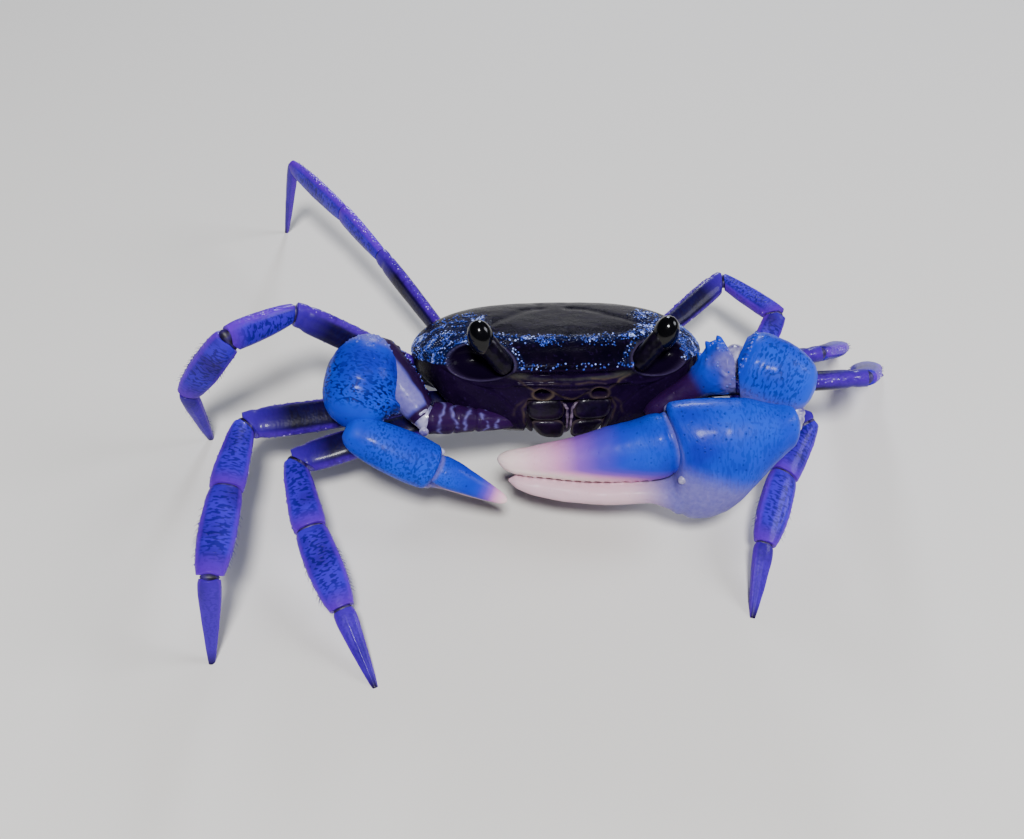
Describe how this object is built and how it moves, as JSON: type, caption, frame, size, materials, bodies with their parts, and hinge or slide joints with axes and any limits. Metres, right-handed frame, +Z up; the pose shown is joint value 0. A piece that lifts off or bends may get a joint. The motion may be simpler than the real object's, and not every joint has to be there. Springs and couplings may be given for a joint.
{
  "type": "land crab",
  "caption": "Small violet land crab with blue claws at life size, standing on jointed walking legs, one large claw folded in front of its face; a still natural-history display model.",
  "frame": {"origin": "on the ground under the middle of the crab's footprint", "axes": "the crab faces -Y, its left side is at +X and +Z is up; X runs across the spread legs"},
  "size_m": [0.083, 0.073, 0.0216],
  "materials": {
    "shell": "wet, glossy dark indigo shell with fine granules",
    "underside": "satin dull violet breastplate and tail",
    "eyestalk": "glossy dark violet",
    "cornea": "high gloss black",
    "leg_shell": "glossy violet-blue shell with bristly edges",
    "claw_shell": "glossy bright blue shell fading to pale pink finger tips"
  },
  "bodies": {
    "root": {"abdomen": "underside", "carapace": "shell", "claw_arm_L": "claw_shell", "claw_arm_R": "claw_shell", "claw_finger_L": "claw_shell", "claw_finger_R": "claw_shell", "claw_palm_L": "claw_shell", "claw_palm_R": "claw_shell", "claw_upper_arm_R": "claw_shell", "claw_wrist_L": "claw_shell", "claw_wrist_R": "claw_shell", "eye_L": "cornea", "eye_R": "cornea", "eyestalk_L": "eyestalk", "eyestalk_R": "eyestalk", "leg2_carpus_L": "leg_shell", "leg2_carpus_R": "leg_shell", "leg2_dactylus_L": "leg_shell", "leg2_dactylus_R": "leg_shell", "leg2_merus_L": "leg_shell", "leg2_merus_R": "leg_shell", "leg2_propodus_L": "leg_shell", "leg2_propodus_R": "leg_shell", "leg3_carpus_L": "leg_shell", "leg3_carpus_R": "leg_shell", "leg3_dactylus_L": "leg_shell", "leg3_dactylus_R": "leg_shell", "leg3_merus_L": "leg_shell", "leg3_merus_R": "leg_shell", "leg3_propodus_L": "leg_shell", "leg3_propodus_R": "leg_shell", "leg4_carpus_L": "leg_shell", "leg4_carpus_R": "leg_shell", "leg4_dactylus_L": "leg_shell", "leg4_dactylus_R": "leg_shell", "leg4_merus_L": "leg_shell", "leg4_merus_R": "leg_shell", "leg4_propodus_L": "leg_shell", "leg4_propodus_R": "leg_shell", "leg5_carpus_L": "leg_shell", "leg5_carpus_R": "leg_shell", "leg5_dactylus_L": "leg_shell", "leg5_dactylus_R": "leg_shell", "leg5_merus_L": "leg_shell", "leg5_merus_R": "leg_shell", "leg5_propodus_L": "leg_shell", "leg5_propodus_R": "leg_shell", "mouth_plate_L": "shell", "mouth_plate_R": "shell", "sternum": "underside"}
  },
  "joints": []
}
